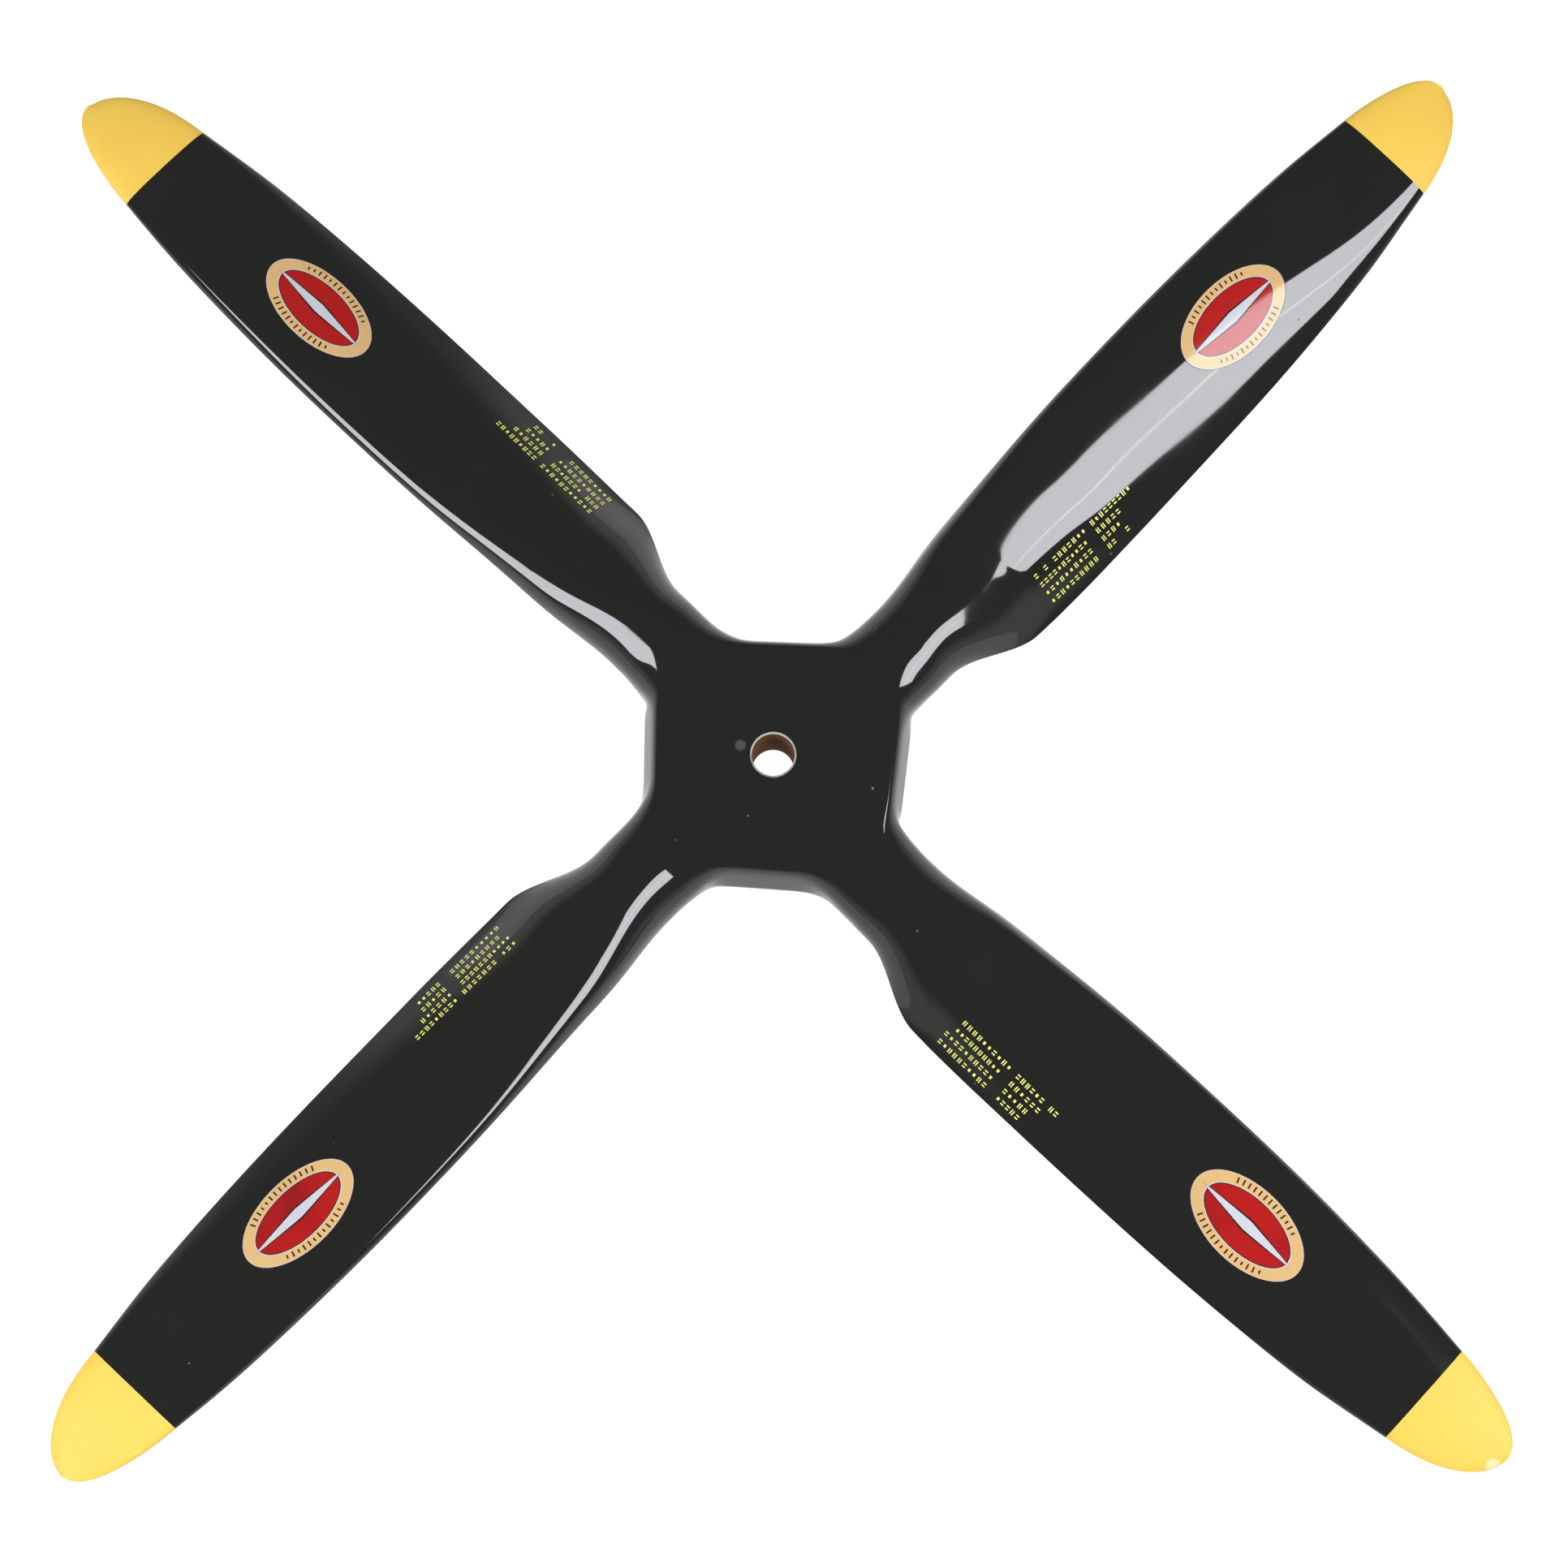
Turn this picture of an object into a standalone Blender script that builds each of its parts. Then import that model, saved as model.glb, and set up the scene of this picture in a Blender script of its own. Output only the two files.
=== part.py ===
"""Four-blade moulded propeller for a large model aircraft.

Metres, +Z up. The origin is on the bore's axis at the hub's back face, +Z points forward
in flight, and blade 1 lies along +X. Seen from the front the propeller turns
counter-clockwise, so a blade's leading edge is on its +Y side when it lies along +X.
"""

import math

import bmesh
import bpy
import numpy as np
from mathutils import Matrix, Vector

MM = 0.001
INCH = 0.0254

# Driving dimensions
DIAMETER = 22 * INCH
BLADES = 4
HUB_THICKNESS = 22.5 * MM
BORE_DIAMETER = 12 * MM
TIP_RADIUS = DIAMETER / 2

# The two mould halves meet at the parting line, which runs round the whole outline
PARTING_HEIGHT = 10.4 * MM

# Blade outline: radius, leading edge and trailing edge to either side of the blade's axis
OUTLINE = [
    (38 * MM, 12.35 * MM, 25.6 * MM),
    (50 * MM, 11.4 * MM, 25.6 * MM),
    (60 * MM, 11.95 * MM, 25.6 * MM),
    (75 * MM, 14.1 * MM, 25.6 * MM),
    (90 * MM, 15.5 * MM, 25.55 * MM),
    (120 * MM, 18.0 * MM, 24.9 * MM),
    (150 * MM, 19.4 * MM, 23.9 * MM),
    (180 * MM, 20.1 * MM, 22.45 * MM),
    (210 * MM, 19.9 * MM, 20.1 * MM),
    (235 * MM, 18.7 * MM, 17.0 * MM),
    (252 * MM, 17.25 * MM, 13.95 * MM),
    (280 * MM, 16.2 * MM, 12.1 * MM),
]
NECK_TRAILING = 16.8 * MM
SHOULDER_START = 54.5 * MM
SHOULDER_END = 81.5 * MM
TIP_ROUNDING = 28 * MM
TIP_LEAN = 2.0 * MM

# How far each of the four hand-laid blades sits off its axis: radius, then blades 1 to 4
SWAY = [
    (38 * MM, -0.9 * MM, 0.75 * MM, -0.1 * MM, 0.15 * MM),
    (75 * MM, -0.55 * MM, 0.45 * MM, -0.3 * MM, 0.1 * MM),
    (110 * MM, -0.35 * MM, 0.2 * MM, -0.3 * MM, 0.3 * MM),
    (150 * MM, -0.1 * MM, 0.15 * MM, -0.2 * MM, 0.1 * MM),
    (190 * MM, 0, -0.05 * MM, -0.1 * MM, 0),
    (230 * MM, 0.3 * MM, -0.2 * MM, 0.05 * MM, -0.05 * MM),
    (280 * MM, 0.3 * MM, -0.3 * MM, 0, 0),
]

# Radius, height of the leading edge and of the trailing edge above the hub's back face.
# Their difference is the twist: about 11 inches of pitch over the outer two thirds.
EDGE_HEIGHTS = [
    (38 * MM, 10.40 * MM, 10.25 * MM),
    (50 * MM, 10.30 * MM, 9.86 * MM),
    (60 * MM, 10.75 * MM, 8.17 * MM),
    (75 * MM, 12.50 * MM, 4.70 * MM),
    (90 * MM, 14.30 * MM, 2.38 * MM),
    (110 * MM, 15.81 * MM, 2.70 * MM),
    (130 * MM, 16.39 * MM, 3.24 * MM),
    (150 * MM, 16.52 * MM, 4.20 * MM),
    (180 * MM, 16.57 * MM, 5.40 * MM),
    (210 * MM, 16.50 * MM, 7.55 * MM),
    (235 * MM, 16.36 * MM, 10.01 * MM),
    (255 * MM, 16.21 * MM, 12.53 * MM),
    (280 * MM, 16.00 * MM, 14.08 * MM),
]

# Bulge of the front and back surfaces from the chord line
CROWNS = [
    (38 * MM, 11.58 * MM, 9.80 * MM),
    (50 * MM, 11.85 * MM, 9.20 * MM),
    (62 * MM, 11.64 * MM, 7.20 * MM),
    (76 * MM, 9.43 * MM, 4.20 * MM),
    (92 * MM, 7.53 * MM, 2.00 * MM),
    (120 * MM, 5.24 * MM, 1.00 * MM),
    (160 * MM, 4.15 * MM, 0.80 * MM),
    (210 * MM, 3.51 * MM, 0.60 * MM),
    (250 * MM, 2.49 * MM, 0.50 * MM),
    (280 * MM, 1.86 * MM, 0.40 * MM),
]
EDGE_HALF_THICKNESS = 0.45 * MM

# Radius, place of the crest along the chord, squareness of the section (2 is an ellipse)
SHAPE = [
    (36 * MM, 0.497, 5.00),
    (41 * MM, 0.489, 2.94),
    (46 * MM, 0.489, 2.31),
    (62 * MM, 0.439, 2.30),
    (80 * MM, 0.368, 2.77),
    (110 * MM, 0.380, 2.52),
    (160 * MM, 0.384, 2.27),
    (210 * MM, 0.408, 2.56),
    (250 * MM, 0.476, 2.44),
    (280 * MM, 0.424, 2.22),
]

# Where the solids of the one moulding meet
BLADE_ROOT = 46 * MM
PAINT_LINES = [252.1 * MM, 249.9 * MM, 249.1 * MM, 251.4 * MM]
PAINT_LINE_SLANT = math.radians(3.1)
JOINT_GAP = 0.3 * MM

# Hub flats: distance from the bore's axis and slant of the one after each of blades 1 to 4
FLATS = [
    (36.2 * MM, math.radians(3.7)),
    (36.7 * MM, math.radians(2.1)),
    (36.45 * MM, math.radians(5.7)),
    (37.85 * MM, math.radians(6.9)),
]
FLAT_COLUMNS = [-14.5 * MM, -9 * MM, -2.5 * MM, 4 * MM, 9.8 * MM]
MOUTH_RADIUS = 37.4 * MM
# Hub side from the parting line to the face: how far in, and what share of the height
SIDE_FRONT = [(0, 0), (0.8 * MM, 0.42), (1.9 * MM, 0.80), (3.8 * MM, 0.975), (7 * MM, 1)]
SIDE_BACK = [(0, 0), (0.6 * MM, 0.42), (1.4 * MM, 0.80), (3.2 * MM, 0.975), (7 * MM, 1)]
# Rows of points keep to one height up the side at the hub, and spread evenly from here on
LEVEL_ROWS_END = 42 * MM
EVEN_ROWS_START = 62 * MM
LEAST_ROW_SHARE = 0.0012

# Bore: a chamfered rim through each skin, and the brown core between the skins
SKIN = 1.2 * MM
RIM_CHAMFER = 0.8 * MM
CORE_RADIUS = 12 * MM

# Oval badge on each blade's front
BADGE_CENTRES = [
    (185.8 * MM, -0.75 * MM),
    (187.0 * MM, -0.6 * MM),
    (183.6 * MM, -1.5 * MM),
    (185.2 * MM, 0.3 * MM),
]
BADGE_HALF_SIZES = (19.2 * MM, 10.6 * MM)
BADGE_THICKNESS = 0.3 * MM
BADGE_LIFT = 0.2 * MM
BADGE_RINGS = (0.34, 0.67, 1.0)
BADGE_SIDES = 32

# Mesh density
FRONT_STEPS = 12
RIM_FIRST = 4
STUB_LOOPS = (40 * MM, 43 * MM)
CORE_SIDES = 32


def spline_through(points):
    """A smooth curve (natural cubic) through the points, as one function for each column."""
    table = np.array(points, float)
    x = table[:, 0]
    step = np.diff(x)
    count = len(x)
    system = np.eye(count)
    for i in range(1, count - 1):
        system[i, i - 1 : i + 2] = [step[i - 1], 2 * (step[i - 1] + step[i]), step[i]]
    curves = []
    for y in table[:, 1:].T:
        rise = np.diff(y) / step
        bend = np.linalg.solve(system, np.r_[0, 6 * np.diff(rise), 0])
        curves.append(cubic(x, y, step, rise, bend))
    return curves


def cubic(x, y, step, rise, bend):
    def value(at):
        i = int(np.clip(np.searchsorted(x, at) - 1, 0, len(step) - 1))
        t = at - x[i]
        slope = rise[i] - step[i] * (2 * bend[i] + bend[i + 1]) / 6
        return y[i] + t * (slope + t * (bend[i] / 2 + t * (bend[i + 1] - bend[i]) / (6 * step[i])))

    return value


leading_offset, trailing_offset = spline_through(OUTLINE)
leading_height, trailing_height = spline_through(EDGE_HEIGHTS)
front_crown, back_crown = spline_through(CROWNS)
crest_place, squareness = spline_through(SHAPE)
sways = spline_through(SWAY)


def ease(value, start, end):
    """0 before start, 1 after end, and a smooth step between."""
    t = min(max((value - start) / (end - start), 0), 1)
    return t * t * (3 - 2 * t)


def mix(a, b, share):
    return a + (b - a) * share


def edges(radius):
    """The leading and trailing edge points (y, z) of the section at this radius."""
    lead = leading_offset(radius)
    trail = mix(NECK_TRAILING, trailing_offset(radius), ease(radius, SHOULDER_START, SHOULDER_END))
    into_tip = max((radius - TIP_RADIUS) / TIP_ROUNDING + 1, 0)
    middle = (lead - trail) / 2 + TIP_LEAN * into_tip**3
    half = (lead + trail) / 2 * tip_narrowing(radius)
    return (middle + half, leading_height(radius)), (middle - half, trailing_height(radius))


def tip_narrowing(radius):
    """1 along the blade, and down to 0 round the tip."""
    into_tip = max((radius - TIP_RADIUS) / TIP_ROUNDING + 1, 0)
    return math.sqrt(max(1 - into_tip**2, 0))


def bulge(share, radius):
    """Shape of a surface from the leading edge (0) to the trailing edge (1), with peak 1."""
    crest = crest_place(radius)
    power = squareness(radius)
    if share < crest:
        return (1 - (1 - share / crest) ** power) ** (1 / power)
    # The tail starts with the same curvature as the nose ends with
    tail_power = ((1 - crest) / crest) ** power / power
    return (1 - ((share - crest) / (1 - crest)) ** power) ** tail_power


def surface_point(radius, share, front, lift=0.0):
    """A point on the front or back surface, in the frame of a blade along +X."""
    (lead_y, lead_z), (trail_y, trail_z) = edges(radius)
    width = math.hypot(lead_y - trail_y, lead_z - trail_z)
    across = Vector((0, trail_y - lead_y, trail_z - lead_z)) / max(width, 1e-9)
    out = Vector((0, across.z, -across.y))
    crown = front_crown(radius) if front else back_crown(radius)
    round_edge = EDGE_HALF_THICKNESS * math.sqrt(max(1 - (2 * share - 1) ** 6, 0))
    height = (crown * bulge(share, radius) + round_edge) * tip_narrowing(radius) + lift
    chord_point = Vector((radius, lead_y, lead_z)) + across * width * share
    return chord_point + out * (height if front else -height)


def chord_shares(radius):
    """Where along the chord a section's points lie, from the leading edge to the trailing edge."""
    even = [(1 - math.cos(math.pi * i / FRONT_STEPS)) / 2 for i in range(FRONT_STEPS + 1)]
    power = squareness(radius)
    rows = []
    for i, (_, height) in enumerate(SIDE_FRONT):
        below_top = min(height, 0.9995)
        share = crest_place(radius) * (1 - (1 - below_top**power) ** (1 / power))
        rows.append(max(share, LEAST_ROW_SHARE * i))
    inside = np.linspace(rows[-1], 1 - rows[-1], FRONT_STEPS - 2 * len(rows) + 3)
    level = [*rows[:-1], *inside, *(1 - row for row in reversed(rows[:-1]))]
    spread = ease(radius, LEVEL_ROWS_END, EVEN_ROWS_START)
    return [mix(a, b, spread) for a, b in zip(level, even)]


def section(radius, index):
    """One closed loop of points of a blade: front from leading to trailing edge, then back."""
    shares = chord_shares(radius)
    loop = [surface_point(radius, share, True) for share in shares[:-1]]
    loop += [surface_point(radius, share, False) for share in reversed(shares[1:])]
    sideways = Vector((0, sways[index](radius), 0))
    return [point + sideways for point in loop]


def material(name, colour, roughness, metallic=0.0):
    made = bpy.data.materials.new(name)
    made.use_nodes = True
    shader = made.node_tree.nodes["Principled BSDF"]
    shader.inputs["Base Color"].default_value = (*colour, 1)
    shader.inputs["Roughness"].default_value = roughness
    shader.inputs["Metallic"].default_value = metallic
    return made


def turn(index):
    return Matrix.Rotation(2 * math.pi * index / BLADES, 4, "Z")


def add_object(name, bm, finish, smooth_angle=math.radians(35)):
    bmesh.ops.recalc_face_normals(bm, faces=bm.faces)
    if bm.calc_volume(signed=True) < 0:
        bmesh.ops.reverse_faces(bm, faces=bm.faces)
    mesh = bpy.data.meshes.new(name)
    bm.to_mesh(mesh)
    bm.free()
    mesh.shade_smooth()
    mesh.set_sharp_from_angle(angle=smooth_angle)
    mesh.materials.append(finish)
    made = bpy.data.objects.new(name, mesh)
    bpy.context.collection.objects.link(made)
    return made


def skin_between(bm, loops):
    """Quads between one closed loop of vertices and the next."""
    for first, second in zip(loops, loops[1:]):
        for i in range(len(first)):
            j = (i + 1) % len(first)
            bm.faces.new((first[i], first[j], second[j], second[i]))


def blade_radii():
    """Section radii, close together where the outline bends."""
    neck = np.linspace(BLADE_ROOT, 90 * MM, 13)
    middle = np.linspace(90 * MM, TIP_RADIUS - TIP_ROUNDING, 10)[1:]
    angles = np.linspace(0, math.pi / 2, 9)[1:-1]
    tip = TIP_RADIUS - TIP_ROUNDING * (1 - np.sin(angles))
    last = TIP_RADIUS - 0.1 * MM
    return [*neck, *middle, *tip, last]


def whole_blade(index):
    bm = bmesh.new()
    loops = [[bm.verts.new(p) for p in section(r, index)] for r in blade_radii()]
    skin_between(bm, loops)
    bm.faces.new(loops[0])
    bm.faces.new(loops[-1])
    bmesh.ops.recalc_face_normals(bm, faces=bm.faces)
    return bm


def cut_off(bm, point, direction):
    """Removes what lies beyond the plane and closes the cut."""
    everything = [*bm.verts, *bm.edges, *bm.faces]
    result = bmesh.ops.bisect_plane(
        bm, geom=everything, plane_co=point, plane_no=direction, clear_outer=True
    )
    rim = [item for item in result["geom_cut"] if isinstance(item, bmesh.types.BMEdge)]
    bmesh.ops.edgeloop_fill(bm, edges=rim)


def make_blades(black, yellow):
    along = Vector((math.cos(PAINT_LINE_SLANT), math.sin(PAINT_LINE_SLANT), 0))
    half_gap = along * JOINT_GAP / 2
    for index, radius in enumerate(PAINT_LINES):
        paint_line = Vector((radius, 0, 0))
        blade = whole_blade(index)
        cut_off(blade, Vector((BLADE_ROOT + JOINT_GAP, 0, 0)), Vector((-1, 0, 0)))
        cut_off(blade, paint_line - half_gap, along)
        blade.transform(turn(index))
        add_object(f"blade_{index + 1}", blade, black)

        tip = whole_blade(index)
        cut_off(tip, paint_line + half_gap, -along)
        tip.transform(turn(index))
        add_object(f"tip_{index + 1}", tip, yellow)


def flat_column(flat, offset, profile_front, profile_back):
    """Points down one line of a hub flat, in the frame where the flat faces +X."""
    middle_distance, slant = flat
    distance = middle_distance + offset * math.tan(slant)
    front_rise = HUB_THICKNESS - PARTING_HEIGHT
    front = [
        Vector((distance - inset, offset, PARTING_HEIGHT + share * front_rise))
        for inset, share in profile_front
    ]
    back = [
        Vector((distance - inset, offset, PARTING_HEIGHT * (1 - share)))
        for inset, share in profile_back
    ]
    return front, back


def make_hub(black):
    """The block with four neck stubs, as one skin that runs on from mouth to mouth."""
    bm = bmesh.new()
    around = 2 * FRONT_STEPS
    stub_radii = [MOUTH_RADIUS, *STUB_LOOPS, BLADE_ROOT]
    arms = []
    for index in range(BLADES):
        place_by = turn(index)
        loops = []
        for radius in stub_radii:
            points = section(radius, index)
            if radius == MOUTH_RADIUS:
                level_faces(points)
            loops.append([bm.verts.new(place_by @ p) for p in points])
        skin_between(bm, loops)
        bm.faces.new(loops[-1])
        arms.append(loops[0])

    front_rim = []
    back_rim = []
    for index in range(BLADES):
        mouth = arms[index]
        following = arms[(index + 1) % BLADES]
        first = side_of_mouth(mouth, 0, around)
        last = side_of_mouth(following, FRONT_STEPS, around)
        place_by = turn(index + 0.5)
        columns = [first]
        for offset in FLAT_COLUMNS:
            front, back = flat_column(FLATS[index], offset, SIDE_FRONT, SIDE_BACK)
            front_verts = [bm.verts.new(place_by @ p) for p in front]
            back_verts = [front_verts[0]] + [bm.verts.new(place_by @ p) for p in back[1:]]
            columns.append((front_verts, back_verts))
        columns.append(last)
        for (front_a, back_a), (front_b, back_b) in zip(columns, columns[1:]):
            for a, b in ((front_a, front_b), (back_a, back_b)):
                for k in range(RIM_FIRST):
                    bm.faces.new((a[k], b[k], b[k + 1], a[k + 1]))
        inner = range(FRONT_STEPS - RIM_FIRST, RIM_FIRST, -1)
        front_rim += [mouth[j] for j in inner]
        back_rim += [mouth[around - j] for j in inner]
        front_rim += [front[RIM_FIRST] for front, _ in columns[:-1]]
        back_rim += [back[RIM_FIRST] for _, back in columns[:-1]]

    bore_through(bm, front_rim, back_rim)
    add_object("hub", bm, black)


def side_of_mouth(mouth, parting, around):
    """The mouth's vertices from the parting line inwards, over the front and over the back."""
    step = 1 if parting == 0 else -1
    front = [mouth[parting + step * k] for k in range(RIM_FIRST + 1)]
    back = [mouth[(parting - step * k) % around] for k in range(RIM_FIRST + 1)]
    return front, back


def level_faces(points):
    """The mouth's middle points lie in the hub's flat faces."""
    for j, point in enumerate(points):
        inside = RIM_FIRST <= j <= FRONT_STEPS - RIM_FIRST
        inside_back = FRONT_STEPS + RIM_FIRST <= j <= 2 * FRONT_STEPS - RIM_FIRST
        if inside:
            point.z = HUB_THICKNESS
        elif inside_back:
            point.z = 0


def bore_through(bm, front_rim, back_rim):
    """Closes both faces in to the bore, and steps it out for the core between the skins."""
    bore = BORE_DIAMETER / 2
    steps = [
        (bore + RIM_CHAMFER, HUB_THICKNESS),
        (bore, HUB_THICKNESS - RIM_CHAMFER),
        (bore, HUB_THICKNESS - SKIN),
        (CORE_RADIUS, HUB_THICKNESS - SKIN),
        (CORE_RADIUS, SKIN),
        (bore, SKIN),
        (bore, RIM_CHAMFER),
        (bore + RIM_CHAMFER, 0),
    ]
    start = math.atan2(front_rim[0].co.y, front_rim[0].co.x)
    angles = [start + 2 * math.pi * i / len(front_rim) for i in range(len(front_rim))]
    rings = [
        [bm.verts.new((radius * math.cos(a), radius * math.sin(a), height)) for a in angles]
        for radius, height in steps
    ]
    skin_between(bm, [front_rim, *rings, back_rim])


def make_core(brown):
    """Hard core of the hub, seen only as the bore's wall."""
    bm = bmesh.new()
    low = SKIN + JOINT_GAP
    high = HUB_THICKNESS - SKIN - JOINT_GAP
    inner = BORE_DIAMETER / 2
    outer = CORE_RADIUS - JOINT_GAP
    loops = []
    for radius, height in ((inner, low), (outer, low), (outer, high), (inner, high)):
        angles = [2 * math.pi * i / CORE_SIDES for i in range(CORE_SIDES)]
        loops.append(
            [bm.verts.new((radius * math.cos(a), radius * math.sin(a), height)) for a in angles]
        )
    skin_between(bm, [*loops, loops[0]])
    add_object("hub_core", bm, brown)


def front_at(radius, offset, index, lift):
    """The point over a place on a blade's plan, this far off the front surface."""
    sideways = sways[index](radius)
    (lead_y, _), (trail_y, _) = edges(radius)
    share = (lead_y + sideways - offset) / (lead_y - trail_y)
    return surface_point(radius, share, True, lift) + Vector((0, sideways, 0))


def badge_layer(bm, index, lift):
    """One face of a badge; returns its rim."""
    centre_x, centre_y = BADGE_CENTRES[index]
    half_x, half_y = BADGE_HALF_SIZES
    loops = []
    for scale in BADGE_RINGS:
        angles = [2 * math.pi * i / BADGE_SIDES for i in range(BADGE_SIDES)]
        places = [
            (centre_x + half_x * scale * math.cos(a), centre_y + half_y * scale * math.sin(a))
            for a in angles
        ]
        loops.append([bm.verts.new(front_at(x, y, index, lift)) for x, y in places])
    skin_between(bm, loops)
    middle = bm.verts.new(front_at(centre_x, centre_y, index, lift))
    for i in range(BADGE_SIDES):
        bm.faces.new((loops[0][i], middle, loops[0][(i + 1) % BADGE_SIDES]))
    return loops[-1]


def make_badges(printed):
    """Thin oval plates that follow the blades' front surfaces."""
    for index in range(BLADES):
        bm = bmesh.new()
        under = badge_layer(bm, index, BADGE_LIFT)
        over = badge_layer(bm, index, BADGE_LIFT + BADGE_THICKNESS)
        skin_between(bm, [under, over])
        bm.transform(turn(index))
        add_object(f"badge_{index + 1}", bm, printed)


def main():
    for leftover in list(bpy.data.objects):
        bpy.data.objects.remove(leftover)
    black = material("black_gelcoat", (0.012, 0.013, 0.011), 0.06)
    yellow = material("yellow_paint", (0.93, 0.62, 0.08), 0.25)
    brown = material("brown_core", (0.22, 0.11, 0.04), 0.6)
    printed = material("badge_print", (0.55, 0.05, 0.05), 0.2)
    make_hub(black)
    make_core(brown)
    make_blades(black, yellow)
    make_badges(printed)


main()
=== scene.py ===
import math

import bmesh
import bpy
import numpy as np
from mathutils import Matrix, Vector
from mathutils.bvhtree import BVHTree


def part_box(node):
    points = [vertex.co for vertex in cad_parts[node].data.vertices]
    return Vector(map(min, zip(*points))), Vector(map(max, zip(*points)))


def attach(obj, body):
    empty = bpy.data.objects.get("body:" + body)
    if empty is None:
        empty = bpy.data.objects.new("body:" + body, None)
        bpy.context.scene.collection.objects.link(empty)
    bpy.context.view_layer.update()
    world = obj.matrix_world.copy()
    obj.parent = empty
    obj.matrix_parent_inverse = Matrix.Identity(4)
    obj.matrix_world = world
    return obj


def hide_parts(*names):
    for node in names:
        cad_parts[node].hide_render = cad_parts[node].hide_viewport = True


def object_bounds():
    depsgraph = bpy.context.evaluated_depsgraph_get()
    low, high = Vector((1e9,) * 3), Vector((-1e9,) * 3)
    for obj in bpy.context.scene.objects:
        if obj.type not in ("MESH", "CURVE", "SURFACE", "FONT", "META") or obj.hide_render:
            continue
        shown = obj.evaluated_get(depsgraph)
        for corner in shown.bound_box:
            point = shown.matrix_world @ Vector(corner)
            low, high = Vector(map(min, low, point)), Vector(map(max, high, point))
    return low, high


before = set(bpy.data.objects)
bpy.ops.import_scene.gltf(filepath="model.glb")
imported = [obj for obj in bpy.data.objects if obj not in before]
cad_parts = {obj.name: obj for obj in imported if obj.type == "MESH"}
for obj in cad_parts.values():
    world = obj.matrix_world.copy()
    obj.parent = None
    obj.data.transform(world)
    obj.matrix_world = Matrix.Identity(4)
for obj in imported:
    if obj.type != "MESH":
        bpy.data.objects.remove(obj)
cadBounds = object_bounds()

mm = 0.001
bladeCount = 4
rayHeight = 60 * mm  # prints are dropped onto the skin from here
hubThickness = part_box("hub")[1][2]
tipRadius = max(cadBounds[1][0], cadBounds[1][1]) - 0.03 * mm  # just inside the CAD box

# The blade's surfaces, for a blade along +X with its leading edge towards +Y

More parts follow.
